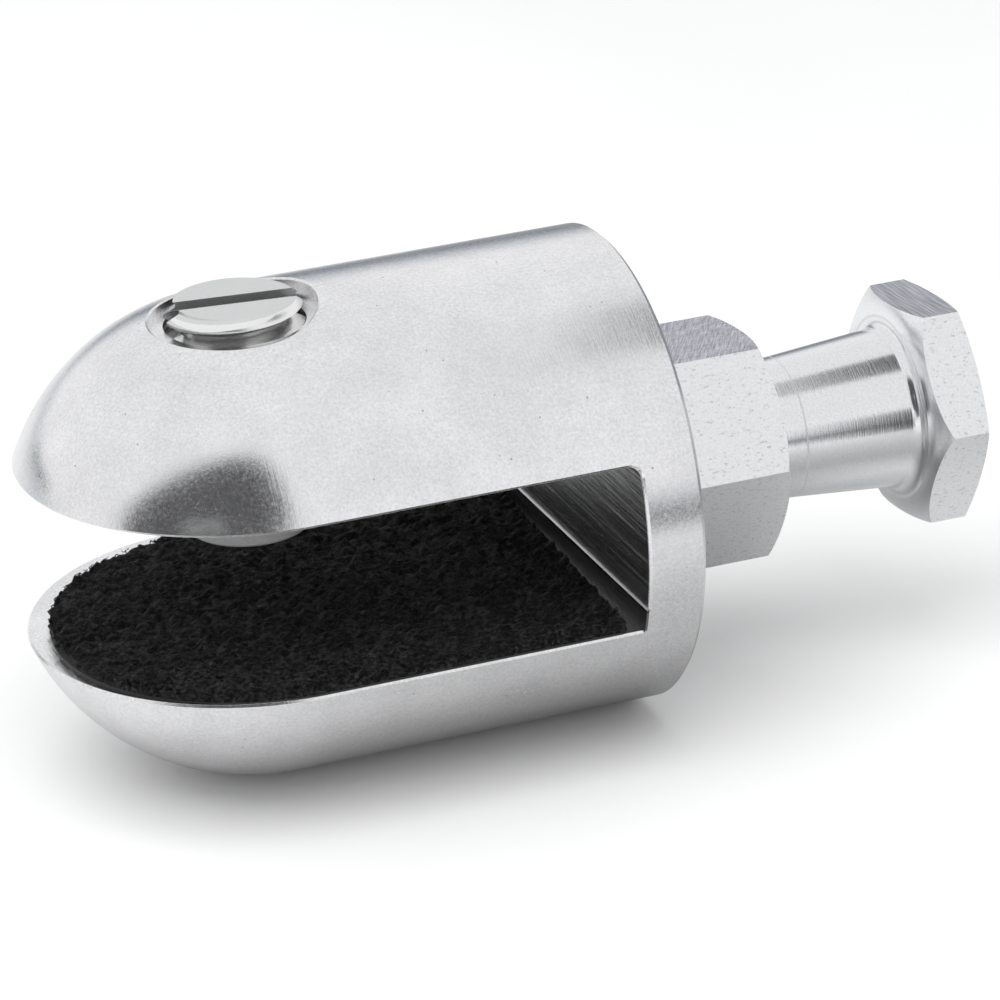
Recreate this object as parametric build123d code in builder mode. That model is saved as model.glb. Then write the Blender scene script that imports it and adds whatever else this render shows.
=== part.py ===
from build123d import *
import math
import os

# Bullet-nosed edge clamp head on a 16 mm hexagon stud, in millimetres.
# Origin: centre of the stud's free end face. The stud and the clamp's long axis lie
# along X, the jaws open towards -X, and the clamp screw stands along Z in the upper jaw.

# Hexagon stud
hex_flats = 16.0            # across flats
hex_roll = -2.9             # turn of the hexagon about X, from one corner on +Y
collar_length = 2.76        # short hexagon at the free end, along its corners
neck_span = 13.24           # between the corners of the two hexagons
base_hex_length = 10.0      # long hexagon against the clamp body, along its corners
neck_radius_end = 6.01
neck_radius_base = 5.07
neck_end_fillet = 0.8
# Domed bevels that round off the hexagons' corners: radius at the face, depth and crown
free_face_radius = 7.4
free_bevel_depth = 0.49
free_bevel_crown = 0.03
collar_face_radius = 6.95
collar_bevel_depth = 1.05
collar_bevel_crown = 0.2
base_face_radius = 7.2
base_bevel_depth = 0.85
base_bevel_crown = 0.1
spigot_radius = 5.0         # nominal M10 spigot, bonded in the body's blind hole
spigot_length = 3.2
spigot_gap = 0.02           # radial room for the retaining compound

# Clamp body
body_radius = 17.5
body_straight = 28.0        # cylinder from the rear face to the start of the round nose
rear_wall = 4.35            # rear face to the end wall of the slot
slot_height = 12.5
slot_corner_radius = 0.9    # at the top of the end wall
wall_step = 0.12            # lower strip of the end wall stands this far proud
wall_step_height = 1.75
edge_break = 0.2
rear_break = 0.3

# Clamp screw, M10 x 1.5 x 16, slotted, and its pressure tip
screw_setback = 27.9        # screw axis from the body's rear face
thread_pitch = 1.5
thread_radius = 4.98
thread_root_radius = 4.08
thread_crest = 0.18
thread_lead_in = 2.14       # the helix starts this far below the screw, on +X
screw_length = 16.0
screw_top = 17.4            # height of the screw's slotted end, at rest
end_flat_radius = 4.41
end_bevel_crown = 0.06      # the 45 degree end bevels are slightly rounded
driver_slot_width = 1.7
driver_slot_depth = 2.4
driver_slot_angle = -8.0
tapped_radius = 5.05        # the body's M10 thread, as a plain hole
recess_radius = 6.0
recess_offset_x = -0.25     # the recess is bored a little off the screw's axis
recess_offset_y = -0.55
recess_floor = 15.75
recess_break = 0.15
tip_radius = 4.4
tip_thickness = 1.0
tip_edge = 0.15
stem_radius = 1.6
stem_length = 4.2
barb_radius = 1.85
barb_height = 0.8
tip_gap = 0.08              # the tip snaps in and stays free to swivel

# Jaw pad and its adhesive
adhesive_thickness = 0.15
pad_thickness = 1.1
pad_width = 29.9
pad_centre_y = -1.25        # stuck on by hand, so a little off the jaw's axis
pad_rear_near = 6.05        # its skewed rear edge, from the body's rear face, on -Y
pad_rear_far = 5.1          # and on +Y

# Worked out
collar_corner_x = -(free_bevel_depth + collar_length)
collar_face_x = collar_corner_x - collar_bevel_depth
base_corner_x = collar_corner_x - neck_span
base_face_x = base_corner_x + base_bevel_depth
rear_x = base_corner_x - base_hex_length
nose_x = rear_x - body_straight
tip_x = nose_x - body_radius
wall_x = rear_x - rear_wall
screw_x = rear_x - screw_setback
screw_bottom = screw_top - screw_length
jaw_face = slot_height / 2
hex_corner_radius = hex_flats / 2 / math.cos(math.radians(30))
screw_axis = Axis((screw_x, 0, 0), (0, 0, 1))
screw_plane = Plane((screw_x, 0, 0), x_dir=(1, 0, 0), z_dir=(0, -1, 0))


def save(part, label):
    part.label = label
    export_step(part, f"parts/{label}.step")


os.makedirs("parts", exist_ok=True)

# Clamp body: a turned bullet, slotted from the nose to make the two jaws.
with BuildPart() as jaw_body:
    with BuildSketch(Plane.XY):
        with BuildLine():
            Polyline((tip_x, 0), (rear_x, 0), (rear_x, body_radius), (nose_x, body_radius))
            CenterArc((nose_x, 0), body_radius, 90, 90)
        make_face()
    revolve(axis=Axis.X)
    chamfer(jaw_body.faces().sort_by(Axis.X)[-1].edges(), rear_break)
    # The slot. Its end wall has a narrow raised strip along the lower jaw.
    with BuildSketch(Plane.XZ):
        with BuildLine():
            Polyline(
                (wall_x - slot_corner_radius, jaw_face),
                (tip_x - 1, jaw_face),
                (tip_x - 1, -jaw_face),
                (wall_x - wall_step, -jaw_face),
                (wall_x - wall_step, wall_step_height - jaw_face),
                (wall_x, wall_step_height - jaw_face),
                (wall_x, jaw_face - slot_corner_radius),
            )
            CenterArc(
                (wall_x - slot_corner_radius, jaw_face - slot_corner_radius),
                slot_corner_radius, 0, 90,
            )
        make_face()
    extrude(amount=body_radius + 1, both=True, mode=Mode.SUBTRACT)
    jaw_faces = jaw_body.faces().filter_by(Axis.Z)
    mouth = [
        edge for edge in jaw_faces.edges()
        if edge.center().X < wall_x - slot_corner_radius and abs(abs(edge.center().Z) - jaw_face) < 0.01
    ]
    chamfer(mouth, edge_break)
    # The screw's hole through the upper jaw, with a recess for its head end.
    with BuildSketch(Plane((screw_x, 0, 0))):
        Circle(tapped_radius)
    extrude(amount=body_radius + 1, mode=Mode.SUBTRACT)
    with BuildSketch(Plane((screw_x + recess_offset_x, recess_offset_y, recess_floor))):
        Circle(recess_radius)
    extrude(amount=body_radius, mode=Mode.SUBTRACT)
    recess_wall = [
        face for face in jaw_body.faces().filter_by(GeomType.CYLINDER)
        if abs(face.radius - recess_radius) < 0.01
    ]
    recess_rim = [
        edge for face in recess_wall for edge in face.edges()
        if edge.center().Z > recess_floor + 0.1 and edge.geom_type != GeomType.LINE
    ]
    chamfer(recess_rim, recess_break)
    # Blind hole for the stud's spigot.
    with BuildSketch(Plane.YZ.offset(rear_x)):
        Circle(spigot_radius + spigot_gap)
    extrude(amount=-(spigot_length + spigot_gap), mode=Mode.SUBTRACT)
save(jaw_body.part, "jaw_body")

# Hexagon stud: hexagon bar, turned down to a tapered neck and a spigot.
with BuildPart() as hex_stud:
    with BuildSketch(Plane.YZ.offset(rear_x)):
        RegularPolygon(hex_corner_radius, 6, rotation=hex_roll)
    extrude(amount=-rear_x)
    # What the lathe leaves of the bar: the bevelled hexagons and the neck between them.
    with BuildSketch(Plane.XY):
        with BuildLine():
            Polyline((rear_x, 0), (rear_x, hex_corner_radius), (base_corner_x, hex_corner_radius))
            SagittaArc(
                (base_corner_x, hex_corner_radius), (base_face_x, base_face_radius), base_bevel_crown
            )
            Polyline(
                (base_face_x, base_face_radius),
                (base_face_x, neck_radius_base),
                (collar_face_x, neck_radius_end),
                (collar_face_x, collar_face_radius),
            )
            SagittaArc(
                (collar_face_x, collar_face_radius),
                (collar_corner_x, hex_corner_radius),
                collar_bevel_crown,
            )
            Line((collar_corner_x, hex_corner_radius), (-free_bevel_depth, hex_corner_radius))
            SagittaArc(
                (-free_bevel_depth, hex_corner_radius), (0, free_face_radius), free_bevel_crown
            )
            Polyline((0, free_face_radius), (0, 0), (rear_x, 0))
        make_face()
    revolve(axis=Axis.X, mode=Mode.INTERSECT)
    neck_rim = [
        edge for edge in hex_stud.edges().filter_by(GeomType.CIRCLE)
        if abs(edge.center().X - collar_face_x) < 0.01 and abs(edge.radius - neck_radius_end) < 0.01
    ]
    fillet(neck_rim, neck_end_fillet)
    with BuildSketch(Plane.YZ.offset(rear_x)):
        Circle(spigot_radius)
    extrude(amount=-spigot_length)
save(hex_stud.part, "hex_stud")

# Clamp screw: a threaded, slotted pin with bevelled ends and a blind hole for the tip.
end_bevel = thread_radius - end_flat_radius
thread_flank = (thread_radius - thread_root_radius) * math.tan(math.radians(30))
ridge_sink = 0.1
thread_start = (screw_x, 0, screw_bottom - thread_lead_in)
with BuildPart() as clamp_screw:
    with BuildLine():
        thread_path = Helix(
            pitch=thread_pitch, height=screw_length + thread_lead_in + thread_pitch,
            radius=thread_root_radius, center=thread_start,
        )
    with BuildSketch(Plane(thread_start, x_dir=(1, 0, 0), z_dir=(0, -1, 0))):
        crest = thread_crest / 2
        root = crest + thread_flank + ridge_sink * math.tan(math.radians(30))
        Polygon(
            (thread_root_radius - ridge_sink, -root),
            (thread_radius, -crest),
            (thread_radius, crest),
            (thread_root_radius - ridge_sink, root),
            align=None,
        )
    sweep(path=thread_path, is_frenet=True)
    with BuildSketch(Plane((screw_x, 0, screw_bottom - 2 * thread_lead_in))):
        Circle(thread_root_radius)
    extrude(amount=screw_length + 4 * thread_lead_in)
    with BuildSketch(screw_plane):
        with BuildLine():
            Line((0, screw_bottom), (end_flat_radius, screw_bottom))
            SagittaArc(
                (end_flat_radius, screw_bottom), (thread_radius, screw_bottom + end_bevel), -end_bevel_crown
            )
            Line((thread_radius, screw_bottom + end_bevel), (thread_radius, screw_top - end_bevel))
            SagittaArc(
                (thread_radius, screw_top - end_bevel), (end_flat_radius, screw_top), -end_bevel_crown
            )
            Polyline((end_flat_radius, screw_top), (0, screw_top), (0, screw_bottom))
        make_face()
    revolve(axis=screw_axis, mode=Mode.INTERSECT)
    with BuildSketch(Plane((screw_x, 0, screw_top))):
        Rectangle(3 * thread_radius, driver_slot_width, rotation=driver_slot_angle)
    extrude(amount=-driver_slot_depth, mode=Mode.SUBTRACT)
    with BuildSketch(Plane((screw_x, 0, screw_bottom))):
        Circle(stem_radius + tip_gap)
    extrude(amount=stem_length + 2 * tip_gap, mode=Mode.SUBTRACT)
    with BuildSketch(Plane((screw_x, 0, screw_bottom + stem_length - barb_height - tip_gap))):
        Circle(barb_radius + tip_gap)
    extrude(amount=barb_height + 3 * tip_gap, mode=Mode.SUBTRACT)
save(clamp_screw.part, "clamp_screw")

# Pressure tip: a smooth plastic foot that snaps into the screw and doesn't turn on the panel.
tip_bottom = screw_bottom - tip_thickness
with BuildPart() as pressure_tip:
    with BuildSketch(screw_plane):
        with BuildLine():
            Polyline(
                (0, tip_bottom),
                (tip_radius - tip_edge, tip_bottom),
                (tip_radius, tip_bottom + tip_edge),
                (tip_radius, screw_bottom - tip_gap),
                (stem_radius, screw_bottom - tip_gap),
                (stem_radius, screw_bottom + stem_length - barb_height),
                (barb_radius, screw_bottom + stem_length - barb_height),
                (stem_radius, screw_bottom + stem_length),
                (0, screw_bottom + stem_length),
                (0, tip_bottom),
            )
        make_face()
    revolve(axis=screw_axis)
save(pressure_tip.part, "pressure_tip")

# Jaw pad, die-cut with a round nose end, on its film of adhesive.
pad_radius = pad_width / 2
pad_near_y = pad_centre_y - pad_radius
pad_far_y = pad_centre_y + pad_radius
with BuildSketch(Plane.XY.offset(-jaw_face)) as pad_outline:
    with BuildLine():
        Polyline(
            (nose_x, pad_far_y),
            (rear_x - pad_rear_far, pad_far_y),
            (rear_x - pad_rear_near, pad_near_y),
            (nose_x, pad_near_y),
        )
        CenterArc((nose_x, pad_centre_y), pad_radius, 90, 180)
    make_face()

with BuildPart() as pad_adhesive:
    add(pad_outline.sketch)
    extrude(amount=adhesive_thickness)
save(pad_adhesive.part, "pad_adhesive")

with BuildPart(Plane.XY.offset(adhesive_thickness)) as jaw_pad:
    add(pad_outline.sketch)
    extrude(amount=pad_thickness)
save(jaw_pad.part, "jaw_pad")
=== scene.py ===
import math

import bpy
import numpy as np
from mathutils import Matrix, Vector, noise


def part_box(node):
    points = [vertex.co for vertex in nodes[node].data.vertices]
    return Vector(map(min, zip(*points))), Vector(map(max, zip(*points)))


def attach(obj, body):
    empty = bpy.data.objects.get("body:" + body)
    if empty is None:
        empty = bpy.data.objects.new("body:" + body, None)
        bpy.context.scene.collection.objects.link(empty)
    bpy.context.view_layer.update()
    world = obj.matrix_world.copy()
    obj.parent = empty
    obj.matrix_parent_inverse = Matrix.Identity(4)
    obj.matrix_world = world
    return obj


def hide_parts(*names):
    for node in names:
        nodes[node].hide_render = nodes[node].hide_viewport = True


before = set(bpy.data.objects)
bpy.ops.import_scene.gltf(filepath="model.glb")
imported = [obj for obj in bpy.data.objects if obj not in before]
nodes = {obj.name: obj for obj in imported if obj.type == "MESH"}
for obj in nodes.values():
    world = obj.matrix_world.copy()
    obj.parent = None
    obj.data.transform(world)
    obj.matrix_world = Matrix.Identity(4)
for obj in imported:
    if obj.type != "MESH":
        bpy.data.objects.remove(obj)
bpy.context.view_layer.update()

MM = 0.001                      # one millimetre in scene units
PER_MM = (1000.0, 1000.0, 1000.0)

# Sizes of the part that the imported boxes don't give, in millimetres
REAR_WALL = 4.35                # from the slot's end wall to the body's rear face
SLOT_HALF = 6.25                # half the slot's height
STEP_HEIGHT = 1.75              # the step at the foot of the end wall, over the slot's floor
BASE_HEX_LENGTH = 10.85         # from the body's rear face to the start of the stud's neck
COLLAR_LENGTH = 4.3             # from the end of the neck to the stud's free end
NECK_RADIUS = 6.9               # a little over the neck's largest radius
RING_MARK = (2.4, 2.52)         # a turned ring on the neck, from the neck's start
END_BEVEL_DEPTH = 0.62          # from the screw's flat end to just past its bevel
END_FLAT_RADIUS = 4.42          # the screw's flat end, inside its bevel
PAD_REAR_SETBACK = 6.05         # the pad's skewed rear edge on -Y, from the body's rear face

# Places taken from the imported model, in millimetres
body_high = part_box("jaw_body")[1] / MM
stud_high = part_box("hex_stud")[1] / MM
screw_low, screw_high = (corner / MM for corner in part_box("clamp_screw"))
pad_low, pad_high = (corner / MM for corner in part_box("jaw_pad"))
body_radius = body_high.z
rear_x = body_high.x
wall_x = rear_x - REAR_WALL
slot_floor = -SLOT_HALF
neck_start = rear_x + BASE_HEX_LENGTH
neck_end = stud_high.x - COLLAR_LENGTH
screw_x = (screw_low.x + screw_high.x) / 2
screw_top = screw_high.z

# Marks and painted shade inside the slot, in millimetres
STEP_LINE_HEIGHT = 0.2                 # height of the line along the top of the step, darkened by wear in chips and by painted shade towards the near side
CORNER_SHADE_HEIGHT = 1.63              # the painted shade behind the pad, over the slot's floor
CORNER_SHADE_LAP = 2.0                  # how far the painted shade reaches under the pad

# Camera
VIEW_AZIMUTH = -19.92           # degrees, 0 looks along +Y
VIEW_ELEVATION = 22.68
VIEW_ROLL = 2.97
VIEW_DISTANCE = 353.2
VIEW_AIM = (-35.36, 0.0, -1.52)
LENS = 175.3

# The floor, and the table over it with painted shade that only the metal reflects
FLOOR_HALF = 900.0
TABLE_GAP = 0.05
PART_HALF = 35.0                # about half the part's length

# The dark shape in front of the nose that the metal reflects, with a glint in it
OBSERVER_WAY = (-0.60, -0.70, 0.40)
OBSERVER_DISTANCE = 400.0
OBSERVER_HALF = (350.0, 203.0)
OBSERVER_SHADE = (0.78, 0.97)   # the share that is solid, and its opacity
OBSERVER_LEAN = -32.0           # degrees
GLINT_AHEAD = 10.0              # the glint stands this far in front of the dark shape
GLINT_HALF = (60.0, 4.0)
GLINT_LEAN = 22.0               # degrees, from the dark shape's own lean

# Smaller dark sheets that the metal reflects, each named with the mark that comes from it: its
# centre, facing and half sizes, the share that is solid, its opacity and its lean in degrees
DARK_EDGES = {
    # The neck's lower stripe
    "front_edge": ((32, -75, 0), (0, 1, 0), (28, 24), 0.8, 0.95, 0.0),
    # The dim patch on the rear rim
    "low_edge": ((-9, -75, -8), (0, 1, 0), (10, 8), 0.5, 0.65, 0.0),
    # The neck's upper stripe
    "top_edge": ((58, -17, 150), (0, 0, -1), (36, 44), 0.85, 1.0, 0.0),
    # The crescent on the nose
    "left_edge": ((-214, 180, 25), (0.61, -0.79, -0.08), (70, 8), 0.5, 0.9, -8.0),
}

# The one lamp
KEY_PLACE = (-160.0, -120.0, 420.0)
KEY_AIM = (-35.0, 0.0, 0.0)
KEY_SIZE = (500.0, 400.0)
KEY_WATTS = 1.5

# The sky's colour by height, from -1 straight down to 1 straight up
SKY = (
    (0.05, (0.20, 0.22, 0.26, 1.0)),
    (0.17, (0.46, 0.48, 0.52, 1.0)),
    (0.34, (0.90, 0.90, 0.905, 1.0)),
    (0.75, (0.84, 0.845, 0.85, 1.0)),
)
SKY_LIFT = 0.22                 # how much higher the sky is read in front and on the left
SKY_LIFT_RANGE = {"X": (0.1, -0.1), "Y": (0.5, 0.1)}     # where the lift starts and is whole

# The pad's pile: short curled fibres standing out of a lumpy mat
PILE_SEED = 12
PILE_FIBRES = 2500
PILE_RISE = 0.06                # highest curl over the CAD pad's top
PILE_LAP = 0.3                  # how far the pile lies over the CAD pad's rear edge
FIBRE_STEPS = 7
FIBRE_SIDES = 3
FIBRE_RADIUS = 0.04
FIBRE_THICKNESS = (0.7, 1.25)   # least and most, as shares of the radius
FIBRE_END = 0.45                # thickness at a fibre's ends, as a share
FIBRE_CURL = (0.1, 0.24)
FIBRE_LENGTH = (0.3, 0.9)
FIBRE_TURNS = (0.6, 1.3)
FIBRE_LIFT = (-0.06, 0.1)       # over the mat
RIM_SHARE = 0.25                # share of the fibres that stand on the pad's edge
RIM_SWELL = 0.8
RIM_RINGS = (0.75, 0.5, 0.25, 0.0)
RIM_CURL = (0.04, 0.09)
RIM_LENGTH = (0.15, 0.4)
MAT_ROWS = 215
MAT_COLUMNS = 165
MAT_CROWDING = 0.35             # how much closer the rows stand at the nose end
MAT_FIRST = 0.0015              # the first row, as a share of the pad's length
MAT_BELOW = 0.08                # the mat's level under the CAD pad's top
LUMP_DEPTH = 0.6
LUMP_TOP = 0.9                  # curl noise at which the mat is at its level
TUFT_DEPTH = 0.3
PAD_CENTRE = (pad_low.y + pad_high.y) / 2
PAD_HALF = (pad_high.y - pad_low.y) / 2
PAD_ROUND = pad_low.x + PAD_HALF         # where the round nose end turns straight
PAD_REAR_FAR = pad_high.x + PILE_LAP     # the skewed rear edge on +Y
PAD_REAR_NEAR = rear_x - PAD_REAR_SETBACK + PILE_LAP
PAD_REAR = (PAD_REAR_FAR + PAD_REAR_NEAR) / 2


def make_camera():
    azimuth = math.radians(VIEW_AZIMUTH)
    elevation = math.radians(VIEW_ELEVATION)
    back = Vector((
        math.sin(azimuth) * math.cos(elevation),
        -math.cos(azimuth) * math.cos(elevation),
        math.sin(elevation),
    ))
    turn = back.to_track_quat("Z", "Y").to_matrix().to_4x4()
    roll = Matrix.Rotation(math.radians(-VIEW_ROLL), 4, "Z")
    place = Matrix.Translation((Vector(VIEW_AIM) + back * VIEW_DISTANCE) * MM)
    data = bpy.data.cameras.new("camera")
    data.lens = LENS
    data.clip_start = 0.01
    camera = bpy.data.objects.new("camera", data)
    camera.matrix_world = place @ turn @ roll
    bpy.context.scene.collection.objects.link(camera)
    bpy.context.scene.camera = camera


class Graph:
    """A material's node tree, with short ways to add its nodes."""

    def __init__(self, name):
        self.material = bpy.data.materials.new(name)
        self.material.use_nodes = True
        self.tree = self.material.node_tree
        self.shader = self.tree.nodes["Principled BSDF"]
        texture = self.tree.nodes.new("ShaderNodeTexCoord")
        self.place = self.vector("MULTIPLY", texture.outputs["Object"], PER_MM)
        self.x, self.y, self.z = self.split(self.place)
        self.facing = self.split(texture.outputs["Normal"])

    def node(self, kind, **inputs):
        made = self.tree.nodes.new("ShaderNode" + kind)
        for name, value in inputs.items():
            self.feed(made.inputs[name], value)
        return made

    def feed(self, socket, value):
        if isinstance(value, bpy.types.NodeSocket):
            self.tree.links.new(value, socket)
        else:
            socket.default_value = value

    def split(self, vector):
        return tuple(self.node("SeparateXYZ", Vector=vector).outputs)

    def join(self, x, y, z):
        return self.node("CombineXYZ", X=x, Y=y, Z=z).outputs[0]

    def vector(self, operation, a, b):
        made = self.tree.nodes.new("ShaderNodeVectorMath")
        made.operation = operation
        self.feed(made.inputs[0], a)
        self.feed(made.inputs[1], b)
        return made.outputs["Vector"]

    def math(self, operation, a, b=0.0):
        made = self.tree.nodes.new("ShaderNodeMath")
        made.operation = operation
        self.feed(made.inputs[0], a)
        self.feed(made.inputs[1], b)
        return made.outputs[0]

    def both(self, *masks):
        """1 where every mask is 1."""
        result = masks[0]
        for mask in masks[1:]:
            result = self.math("MULTIPLY", result, mask)
        return result

    def outside(self, mask):
        """1 where the mask is 0."""
        return self.math("SUBTRACT", 1.0, mask)

    def over(self, value, limit):
        return self.math("GREATER_THAN", value, limit)

    def under(self, value, limit):
        return self.math("LESS_THAN", value, limit)

    def between(self, value, low, high):
        return self.both(self.over(value, low), self.under(value, high))

    def size(self, value):
        """The number without its sign."""
        return self.math("ABSOLUTE", value)

    def far(self, a, b, power=2.0):
        """How far the point (a, b) is from the origin; a higher power makes the circle squarer."""
        total = self.math("ADD", self.math("POWER", a, power), self.math("POWER", b, power))
        return self.math("POWER", total, 1.0 / power)

    def grey(self, level):
        return self.join(level, level, level)

    def tinted(self, level, green, blue):
        """The grey level, with its green and blue multiplied."""
        return self.join(level, self.math("MULTIPLY", level, green), self.math("MULTIPLY", level, blue))

    def vary(self, value, low, high):
        """A number that runs from low to high over the middle of a noise's range."""
        return self.span(value, 0.3, 0.7, low, high)

    def span(self, value, low, high, to_low=0.0, to_high=1.0):
        """A number that runs from to_low to to_high as the value runs from low to high."""
        made = self.node("MapRange", Value=value)
        for name, number in zip(("From Min", "From Max", "To Min", "To Max"), (low, high, to_low, to_high)):
            self.feed(made.inputs[name], number)
        return made.outputs[0]

    def noise(self, stretch, detail=2.0, roughness=0.5, seed=0.0):
        """Noise whose features are about 1 / stretch millimetres across."""
        if not isinstance(stretch, tuple):
            stretch = (stretch,) * 3
        moved = self.vector("ADD", self.vector("MULTIPLY", self.place, stretch), (seed, seed, seed))
        made = self.node("TexNoise", Vector=moved, Scale=1.0, Detail=detail, Roughness=roughness)
        return made.outputs["Fac"]

    def noise_turned(self, degrees, stretch, seed=0.0):
        """Noise stretched along a direction turned about Z."""
        turned = self.node("VectorRotate", Vector=self.place, Angle=math.radians(degrees))
        moved = self.vector("MULTIPLY", turned.outputs[0], stretch)
        moved = self.vector("ADD", moved, (seed, seed, seed))
        return self.node("TexNoise", Vector=moved, Scale=1.0, Detail=2.0).outputs["Fac"]

    def mix(self, factor, a, b):
        """The number a, or b where factor is 1."""
        return self.math("ADD", a, self.math("MULTIPLY", factor, self.math("SUBTRACT", b, a)))

    def pits(self, density, size, share):
        """1 inside small scattered spots: density per millimetre, size and share from 0 to 1."""
        moved = self.vector("MULTIPLY", self.place, (density,) * 3)
        cell = self.node("TexVoronoi", Vector=moved, Scale=1.0)
        near = self.span(cell.outputs["Distance"], size, size * 0.5)
        chosen = self.under(self.split(cell.outputs["Color"])[0], share)
        return self.both(near, chosen)

    def bump(self, *layers):
        """Each layer is (height from 0 to 1, depth in millimetres)."""
        normal = None
        for height, depth in layers:
            made = self.node("Bump", Strength=1.0, Distance=depth * MM, Height=height)
            if normal is not None:
                self.feed(made.inputs["Normal"], normal)
            normal = made.outputs[0]
        self.feed(self.shader.inputs["Normal"], normal)

    def finish(self, **inputs):
        for name, value in inputs.items():
            self.feed(self.shader.inputs[name.replace("_", " ")], value)
        return self.material


def body_metal():
    """Tumbled satin aluminium outside; milled faces and a strip of painted shade behind the pad inside the
    slot.
    """
    g = Graph("tumbled_aluminium")
    in_slot = g.both(g.under(g.x, wall_x + 0.05), g.under(g.size(g.z), SLOT_HALF + 0.01))
    end_wall = g.both(in_slot, g.over(g.size(g.facing[0]), 0.6))
    behind_pad = g.both(in_slot, g.over(g.x, pad_high.x - CORNER_SHADE_LAP))
    # Painted shade: the floor and the foot of the wall in the corner behind the pad
    painted_corner_shade = g.both(behind_pad, g.under(g.z, slot_floor + CORNER_SHADE_HEIGHT))
    step_top = slot_floor + STEP_HEIGHT
    step = g.both(in_slot, g.between(g.z, step_top - STEP_LINE_HEIGHT, step_top))

    cloud = g.noise(0.22, detail=4.0, roughness=0.62)
    swell = g.noise(0.9, detail=2.0, seed=11.0)
    grain = g.noise(4.5, detail=3.0, roughness=0.75, seed=7.0)
    speckle = g.noise(9.0, detail=1.0, seed=13.0)
    turned = g.noise((9.0, 0.3, 0.3), detail=2.0, seed=3.0)
    milled = g.noise((14.0, 0.1, 8.0), detail=3.0, roughness=0.7, seed=5.0)
    scores = g.noise((3.0, 0.06, 7.0), detail=3.0, seed=17.0)
    chips = g.noise((0.3, 1.1, 0.3), detail=3.0, seed=41.0)
    pit = g.pits(density=1.1, size=0.09, share=0.15)
    scored = g.both(end_wall, g.span(scores, 0.5, 0.8))

    tone = g.math("ADD", g.vary(cloud, low=-0.06, high=0.04), g.vary(grain, low=-0.14, high=0.09))
    level = g.math("ADD", tone, 0.91)
    level = g.math("MULTIPLY", level, g.mix(pit, 1.0, 0.45))
    level = g.mix(end_wall, level, g.mix(scored, g.vary(milled, low=0.35, high=0.65), 0.8))
    # Painted shade: near black in the corner behind the pad, where the pad shades the floor and wall
    level = g.mix(painted_corner_shade, level, g.vary(grain, low=0.16, high=0.24))
    # The step's top line is darkened in chips by wear, and by painted shade that deepens towards the near
    # side
    worn_and_shaded = g.both(g.span(chips, 0.42, 0.62, 0.05, 0.7), g.span(g.y, -13.0, 3.0, 0.3, 0.9))
    level = g.math("MULTIPLY", level, g.mix(step, 1.0, worn_and_shaded))
    rough = g.math("ADD", g.vary(cloud, low=0.22, high=0.17), g.vary(grain, low=-0.05, high=0.07))
    rough = g.mix(end_wall, rough, g.mix(scored, 0.28, 0.5))
    g.bump(
        (swell, 0.004),
        (grain, 0.002),
        (g.both(speckle, g.outside(in_slot)), 0.002),
        (g.both(turned, g.outside(in_slot)), 0.004),
        (g.both(milled, in_slot), 0.02),
        (g.outside(pit), 0.02),
    )
    return g.finish(Base_Color=g.tinted(level, 1.0, 1.01), Metallic=1.0, Roughness=rough)


def stud_metal():
    """Extruded hexagon bar with pits and saw marks, its top flats painted darker and bluer as shade and a
    reflection; a bright turned neck.
    """
    g = Graph("stud_aluminium")
    neck = g.both(g.between(g.x, neck_start - 0.05, neck_end + 0.05), g.under(g.far(g.y, g.z), NECK_RADIUS))
    faced = g.over(g.size(g.facing[0]), 0.25)
    flat = g.both(g.outside(neck), g.outside(faced))
    top_flat = g.both(flat, g.over(g.facing[2], 0.9))
    on_collar = g.over(g.x, (neck_start + neck_end) / 2)
    ring_mark = g.both(neck, g.between(g.x, neck_start + RING_MARK[0], neck_start + RING_MARK[1]))

    grain = g.noise(6.0, detail=3.0, roughness=0.7, seed=2.0)
    rings = g.noise((13.0, 0.3, 0.3), detail=3.0, roughness=0.65, seed=4.0)
    drawn = g.noise((0.8, 7.0, 7.0), detail=2.0, seed=1.0)
    slanted = g.noise_turned(28.0, (9.0, 0.6, 1.0), seed=8.0)
    crossed = g.noise_turned(85.0, (7.0, 0.9, 1.0), seed=21.0)
    straight = g.noise_turned(0.0, (8.0, 0.25, 1.0), seed=26.0)
    spots = g.noise((2.6, 5.0, 5.0), detail=3.0, roughness=0.6, seed=31.0)
    sawn = g.both(top_flat, g.mix(on_collar, g.mix(0.35, slanted, crossed), straight))
    pit = g.both(flat, g.outside(top_flat), g.span(spots, 0.58, 0.7))

    level = g.math("ADD", g.vary(grain, low=-0.09, high=0.05), 0.95)
    level = g.math("MULTIPLY", level, g.mix(neck, 1.0, 0.95))
    level = g.math("MULTIPLY", level, g.mix(pit, 1.0, 0.68))
    # Painted shade and reflection: the upward flats are darkened over their saw marks, as if reflecting a
    # dark backdrop
    sawn_and_shaded_level = g.span(sawn, 0.35, 0.65, 0.34, g.mix(on_collar, 0.86, 0.72))
    level = g.math("MULTIPLY", level, g.mix(top_flat, 1.0, sawn_and_shaded_level))
    # The blue tint on the top flats is a painted reflection
    colour = g.tinted(level, 1.005, g.mix(top_flat, 1.015, 1.09))
    rough = g.mix(neck, g.mix(flat, 0.22, 0.3), g.vary(rings, low=0.09, high=0.21))
    rough = g.mix(ring_mark, rough, 0.45)
    g.bump(
        (g.both(flat, drawn), 0.008),
        (sawn, 0.02),
        (g.both(flat, grain), 0.01),
        (g.both(g.outside(flat), rings), 0.005),
        (g.outside(pit), 0.006),
        (g.outside(ring_mark), 0.05),
    )
    return g.finish(Base_Color=colour, Metallic=1.0, Roughness=rough)


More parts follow.
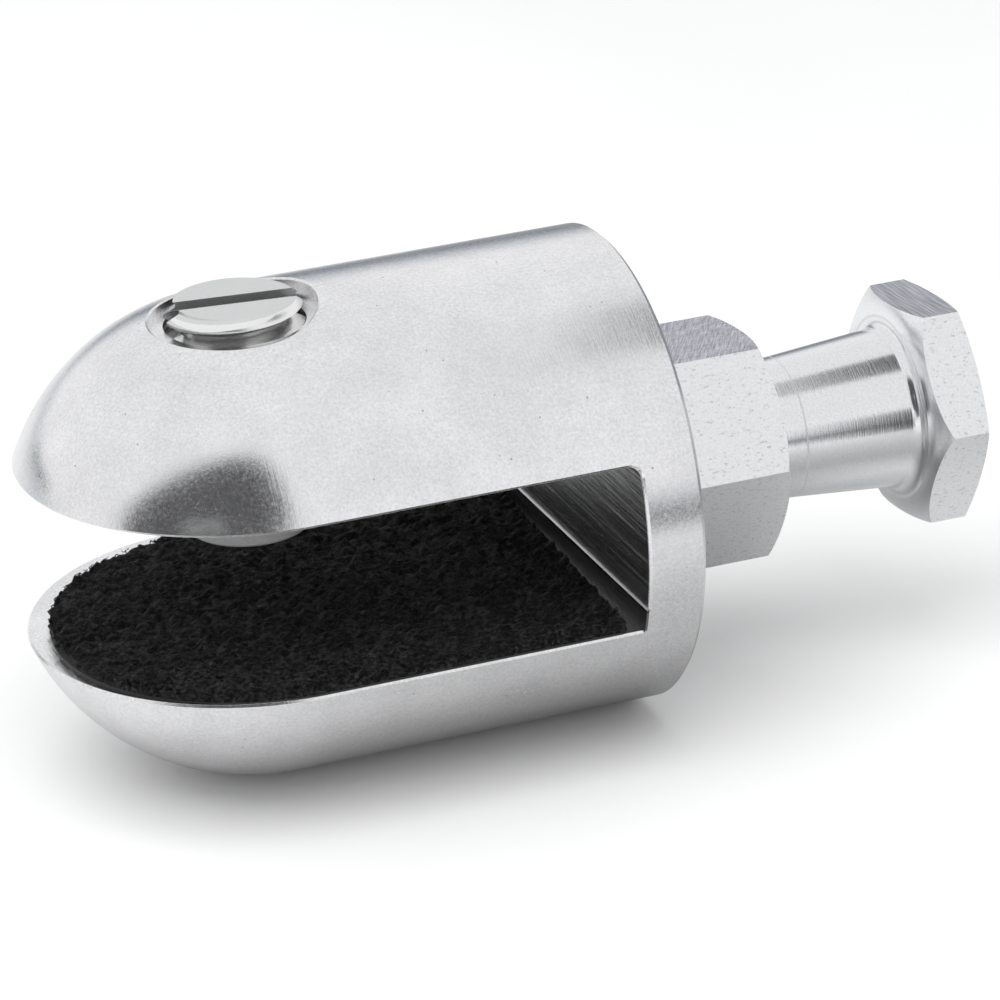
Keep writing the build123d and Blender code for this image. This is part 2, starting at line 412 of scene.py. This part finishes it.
def screw_metal():
    """Pale plated steel with faced ends, a sawn slot and a rolled thread."""
    g = Graph("screw_steel")
    deep = g.under(g.z, screw_top - END_BEVEL_DEPTH)
    bevel = g.over(g.far(g.math("SUBTRACT", g.x, screw_x), g.y), END_FLAT_RADIUS)
    grain = g.noise(7.0, detail=3.0, roughness=0.6)
    around = g.noise((0.3, 0.3, 12.0), detail=3.0, seed=6.0)
    wipe = g.noise((0.5, 3.0, 0.5), detail=2.0, seed=9.0)
    level = g.mix(deep, g.mix(bevel, 0.8, 0.98), 0.78)
    level = g.math("ADD", g.vary(grain, low=-0.05, high=0.03), level)
    g.bump((wipe, 0.008), (grain, 0.004), (g.both(deep, around), 0.01))
    rough = g.mix(deep, 0.3, 0.22)
    return g.finish(Base_Color=g.tinted(level, 1.0, 0.995), Metallic=1.0, Roughness=rough)


def tip_plastic():
    """Grey acetal, faintly grained."""
    g = Graph("grey_acetal")
    level = g.vary(g.noise(4.0, detail=3.0), low=0.31, high=0.35)
    g.bump((g.noise((6.0, 6.0, 0.5), detail=2.0), 0.003))
    return g.finish(Base_Color=g.grey(level), Roughness=0.42)


def adhesive_film():
    """Black adhesive under the pad."""
    g = Graph("adhesive_film")
    grain = g.noise(3.0, detail=4.0)
    g.bump((grain, 0.02))
    return g.finish(Base_Color=g.grey(g.vary(grain, low=0.01, high=0.02)), Roughness=0.5)


def pile_fibre():
    """Black pile with cloudy flecks of grey."""
    g = Graph("black_pile")
    cloud = g.noise(0.5, detail=3.0, roughness=0.6)
    flecks = g.noise((2.6, 5.5, 4.0), detail=3.0, roughness=0.65, seed=3.0)
    fuzz = g.noise((7.0, 11.0, 7.0), detail=3.0, roughness=0.7, seed=19.0)
    level = g.both(g.vary(cloud, low=0.3, high=1.9), g.span(flecks, 0.45, 0.7, 0.0, 0.035))
    g.bump((fuzz, 0.15))
    made = g.finish(Base_Color=g.tinted(level, 1.02, 1.1), Roughness=0.55)
    g.shader.inputs["Specular IOR Level"].default_value = 0.2
    g.shader.inputs["Sheen Weight"].default_value = 0.03
    g.shader.inputs["Sheen Roughness"].default_value = 0.4
    return made


def floor_paint():
    """Pale matt floor, faintly uneven."""
    g = Graph("pale_floor")
    level = g.vary(g.noise(0.02, detail=2.0), low=0.85, high=0.87)
    return g.finish(Base_Color=g.grey(level), Roughness=0.75)


def dark_shade(name, half_sizes, solid, opacity):
    """Near black up to the share `solid` of the half sizes, fading out to clear at the rim."""
    g = Graph(name)
    across, upward = (
        g.size(g.math("DIVIDE", value, half)) for value, half in zip((g.x, g.y), half_sizes)
    )
    shade = g.span(g.far(across, upward, power=4.0), 1.0, solid)
    shade = g.both(shade, g.vary(g.noise(0.05), low=0.94 * opacity, high=opacity))
    return g.finish(Base_Color=(0.02, 0.02, 0.022, 1.0), Roughness=0.9, Alpha=shade)


def bright_shade():
    """Glowing white, a little uneven."""
    g = Graph("bright_shade")
    level = g.vary(g.noise(0.06), low=0.9, high=1.5)
    white = (1.0, 1.0, 1.0, 1.0)
    return g.finish(Base_Color=(0.0, 0.0, 0.0, 1.0), Emission_Color=white, Emission_Strength=level)


def table_shade():
    """Painted shade for the metal to reflect: greyest in a band along each side of the object, and greyer
    under its nose than its stud.
    """
    g = Graph("table_shade")
    from_middle = g.size(g.math("SUBTRACT", g.x, VIEW_AIM[0]))
    past_end = g.math("MAXIMUM", g.math("SUBTRACT", from_middle, PART_HALF), 0.0)
    distance = g.far(past_end, g.size(g.y))
    # Painted shade: darkest in a band beside the object, with painted light brighter towards the stud
    close = g.span(distance, 8.0, 18.0, 0.39, 0.23)
    level = g.math("ADD", close, g.span(distance, 22.0, 85.0, 0.0, 0.23))
    level = g.math("MULTIPLY", level, g.span(g.x, -32.0, -6.0, 0.58, 1.6))
    level = g.math("ADD", level, g.vary(g.noise(0.02, detail=2.0), low=-0.01, high=0.01))
    return g.finish(Base_Color=g.grey(level), Roughness=0.9)


def pad_point(along, across):
    """A point of the pad's outline square, both from 0 to 1, as x and y."""
    share = MAT_CROWDING * along**2 + (1 - MAT_CROWDING) * along
    middle = pad_low.x + share * (PAD_REAR - pad_low.x)
    half = math.sqrt(max(PAD_HALF**2 - max(PAD_ROUND - middle, 0.0)**2, 0.0))
    y = (across * 2.0 - 1.0) * half
    skew = (PAD_REAR_FAR - PAD_REAR_NEAR) * y / (2 * PAD_HALF) * along
    return middle + skew, PAD_CENTRE + y


def mat_height(x, y):
    """Height of the lumpy mat of curls at a place."""
    curls = noise.turbulence(Vector((x * 0.8, y * 1.15, 0.0)), 3, True)
    tufts = noise.noise(Vector((x * 1.5, y * 2.2, 5.0)))
    height = pad_high.z - MAT_BELOW - LUMP_DEPTH * (LUMP_TOP - curls) + TUFT_DEPTH * tufts
    return min(height, pad_high.z + PILE_RISE)


def rim_point(point, share):
    """A point under one of the mat's edge points, at a share of its height, pushed in or out."""
    x, y, top = point
    z = pad_low.z + share * (top - pad_low.z)
    swell = RIM_SWELL * share * noise.noise(Vector((x * 2.4, y * 2.4, z * 2.5)))
    out = Vector((min(x - PAD_ROUND, 0.0), y - PAD_CENTRE, 0.0)).normalized() * swell
    return x + out.x, y + out.y, z


def mat():
    """Vertices and faces of the mat: lumpy on top and at its edge, with a flat underside."""
    wide = MAT_COLUMNS + 1
    vertices, faces = [], []
    for i in range(MAT_ROWS + 1):
        for j in range(wide):
            x, y = pad_point(max(i / MAT_ROWS, MAT_FIRST), j / MAT_COLUMNS)
            vertices.append((x, y, mat_height(x, y)))
    for i in range(MAT_ROWS):
        for j in range(MAT_COLUMNS):
            a = i * wide + j
            faces.append((a, a + wide, a + wide + 1, a + 1))
    rim = list(range(wide))
    rim += [i * wide + MAT_COLUMNS for i in range(1, MAT_ROWS + 1)]
    rim += [MAT_ROWS * wide + j for j in range(MAT_COLUMNS - 1, -1, -1)]
    rim += [i * wide for i in range(MAT_ROWS - 1, 0, -1)]
    above = rim
    for share in RIM_RINGS:
        below = range(len(vertices), len(vertices) + len(rim))
        vertices.extend([rim_point(vertices[k], share) for k in rim])
        for k in range(len(rim)):
            after = (k + 1) % len(rim)
            faces.append((above[k], above[after], below[after], below[k]))
        above = below
    faces.append(tuple(reversed(above)))
    return vertices, faces


def fibre(random):
    """Points along one curl of pile, rooted in the mat or standing on the pad's edge."""
    on_rim = random.uniform(0.0, 1.0) < RIM_SHARE
    along = math.sqrt(random.uniform(0.0, 1.0)) * 0.995
    across = random.uniform(0.005, 0.995)
    if on_rim:
        across = random.choice((0.009, 0.991))
        along = random.uniform(0.0, 1.0)
    x, y = pad_point(along, across)
    heading = random.uniform(0.0, 2 * math.pi)
    ahead = np.array([math.cos(heading), math.sin(heading), 0.0])
    side = np.array([-ahead[1], ahead[0], 0.0])
    up = np.array([0.0, 0.0, 1.0])
    curl = random.uniform(*(RIM_CURL if on_rim else FIBRE_CURL))
    turns = random.uniform(*FIBRE_TURNS)
    length = random.uniform(*(RIM_LENGTH if on_rim else FIBRE_LENGTH))
    start = random.uniform(0.0, 2 * math.pi)
    height = mat_height(x, y) + random.uniform(*FIBRE_LIFT)
    if on_rim:
        height = random.uniform(pad_low.z + 0.2, pad_high.z - 0.15)
    points = []
    for t in np.linspace(0.0, 1.0, FIBRE_STEPS):
        turn = start + turns * 2 * math.pi * t
        centre = np.array([x, y, height]) + ahead * (length * (t - 0.5))
        points.append(centre + side * (curl * math.cos(turn)) + up * (curl * math.sin(turn)))
    points = np.array(points)
    points[:, 1] = np.clip(points[:, 1], pad_low.y - 0.2, pad_high.y + 0.3)
    points[:, 2] = np.clip(points[:, 2], pad_low.z + FIBRE_RADIUS, pad_high.z + PILE_RISE)
    return points


def tube(points, radius, first):
    """A closed tube along points, as vertices and faces numbered from first."""
    vertices, faces = [], []
    ahead = np.gradient(points, axis=0)
    ahead /= np.linalg.norm(ahead, axis=1)[:, None]
    askew = (0.31, 0.17, 0.93)
    for k, (point, way) in enumerate(zip(points, ahead)):
        side = np.cross(way, askew)
        side /= np.linalg.norm(side)
        other = np.cross(way, side)
        reach = radius * (FIBRE_END if k in (0, len(points) - 1) else 1.0)
        for corner in range(FIBRE_SIDES):
            turn = 2 * math.pi * corner / FIBRE_SIDES
            vertices.append(point + reach * (math.cos(turn) * side + math.sin(turn) * other))
    for k in range(len(points) - 1):
        for corner in range(FIBRE_SIDES):
            a = first + FIBRE_SIDES * k + corner
            b = first + FIBRE_SIDES * k + (corner + 1) % FIBRE_SIDES
            faces.append((a, b, b + FIBRE_SIDES, a + FIBRE_SIDES))
    last = first + FIBRE_SIDES * (len(points) - 1)
    faces.append(tuple(range(first + FIBRE_SIDES - 1, first - 1, -1)))
    faces.append(tuple(range(last, last + FIBRE_SIDES)))
    return vertices, faces


def make_pad():
    """The pad's visual: the mat and its curls in one closed piece each, joined in one mesh."""
    random = np.random.default_rng(PILE_SEED)
    vertices, faces = mat()
    for _ in range(PILE_FIBRES):
        more, sides = tube(fibre(random), FIBRE_RADIUS * random.uniform(*FIBRE_THICKNESS), len(vertices))
        vertices.extend(more)
        faces.extend(sides)
    mesh = bpy.data.meshes.new("pile_pad")
    mesh.from_pydata([tuple(float(c) * MM for c in v) for v in vertices], [], faces)
    mesh.validate()
    mesh.shade_smooth()
    pad = bpy.data.objects.new("pile_pad", mesh)
    bpy.context.scene.collection.objects.link(pad)
    pad.data.materials.append(pile_fibre())
    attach(pad, "clamp")
    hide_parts("jaw_pad")


def rectangle(name, half_sizes, material):
    """A flat rectangle about its own origin, linked to the scene."""
    half_x, half_y = (size * MM for size in half_sizes)
    mesh = bpy.data.meshes.new(name)
    corners = [(-half_x, -half_y, 0), (half_x, -half_y, 0), (half_x, half_y, 0), (-half_x, half_y, 0)]
    mesh.from_pydata(corners, [], [(0, 1, 2, 3)])
    mesh.materials.append(material)
    made = bpy.data.objects.new(name, mesh)
    bpy.context.scene.collection.objects.link(made)
    return made


def sheet(name, centre, facing, half_sizes, material, lean=0.0):
    """A flat sheet that only the metal's reflections show, leant by some degrees in its plane."""
    made = rectangle(name, half_sizes, material)
    turn = Vector(facing).to_track_quat("Z", "Y").to_matrix().to_4x4()
    turn = turn @ Matrix.Rotation(math.radians(lean), 4, "Z")
    made.matrix_world = Matrix.Translation(Vector(centre) * MM) @ turn
    made.visible_camera = False
    made.visible_shadow = False
    made.visible_diffuse = False


def dark_sheet(name, centre, facing, half_sizes, solid, opacity, lean):
    """A near-black sheet with soft edges, seen only by reflections."""
    shade = dark_shade(name + "_shade", half_sizes, solid, opacity)
    sheet(name, centre, facing, half_sizes, shade, lean)


def make_surroundings():
    """What the metal reflects: a dark shape with a glint in it, four dark edges and a greyer table."""
    ahead = Vector(OBSERVER_WAY).normalized()
    observer = Vector(VIEW_AIM) + ahead * OBSERVER_DISTANCE
    glint = observer - ahead * GLINT_AHEAD
    table = (0, 0, TABLE_GAP - body_radius)
    dark_sheet("observer", observer, -ahead, OBSERVER_HALF, *OBSERVER_SHADE, OBSERVER_LEAN)
    for name, edge in DARK_EDGES.items():
        dark_sheet(name, *edge)
    sheet("glint", glint, -ahead, GLINT_HALF, bright_shade(), OBSERVER_LEAN + GLINT_LEAN)
    sheet("table", table, (0, 0, 1), (FLOOR_HALF, FLOOR_HALF), table_shade())


def make_floor():
    floor = rectangle("floor", (FLOOR_HALF, FLOOR_HALF), floor_paint())
    floor.location.z = -body_radius * MM


def sky_node(tree, kind, *sources):
    """A node of the sky's tree, fed by the sources in order."""
    made = tree.nodes.new("ShaderNode" + kind)
    for socket, source in zip(made.inputs, sources):
        tree.links.new(source, socket)
    return made


def make_world():
    """A white tent of light, with a dim horizon behind on the right."""
    world = bpy.data.worlds.new("studio")
    bpy.context.scene.world = world
    world.use_nodes = True
    tree = world.node_tree
    background = tree.nodes["Background"]
    way = sky_node(tree, "SeparateXYZ", tree.nodes.new("ShaderNodeTexCoord").outputs["Generated"])
    lifts = []
    for axis, (start, end) in SKY_LIFT_RANGE.items():
        lift = sky_node(tree, "MapRange", way.outputs[axis])
        lift.inputs["From Min"].default_value = start
        lift.inputs["From Max"].default_value = end
        lift.inputs["To Max"].default_value = SKY_LIFT
        lifts.append(lift.outputs[0])
    most = sky_node(tree, "Math", *lifts)
    most.operation = "MAXIMUM"
    height = sky_node(tree, "Math", way.outputs["Z"], most.outputs[0])
    height.operation = "ADD"
    ramp = sky_node(tree, "ValToRGB", height.outputs[0])
    stops = ramp.color_ramp.elements
    stops.remove(stops[-1])
    stops[0].position, stops[0].color = SKY[0]
    for position, colour in SKY[1:]:
        stops.new(position).color = colour
    tree.links.new(ramp.outputs[0], background.inputs["Color"])
    background.inputs["Strength"].default_value = 1.0


def make_key_light():
    """A large soft lamp overhead on the left, which the metal doesn't reflect."""
    data = bpy.data.lights.new("key", "AREA")
    data.shape = "RECTANGLE"
    data.size, data.size_y = (size * MM for size in KEY_SIZE)
    data.energy = KEY_WATTS
    light = bpy.data.objects.new("key", data)
    light.location = Vector(KEY_PLACE) * MM
    light.rotation_mode = "QUATERNION"
    light.rotation_quaternion = (Vector(KEY_AIM) - Vector(KEY_PLACE)).to_track_quat("-Z", "Y")
    light.visible_glossy = False
    bpy.context.scene.collection.objects.link(light)


make_camera()
bpy.context.scene.view_settings.view_transform = "Standard"
make_world()
make_floor()
make_pad()
nodes["jaw_body"].data.materials[0] = body_metal()
nodes["hex_stud"].data.materials[0] = stud_metal()
nodes["clamp_screw"].data.materials[0] = screw_metal()
nodes["pressure_tip"].data.materials[0] = tip_plastic()
nodes["pad_adhesive"].data.materials[0] = adhesive_film()
make_surroundings()
make_key_light()
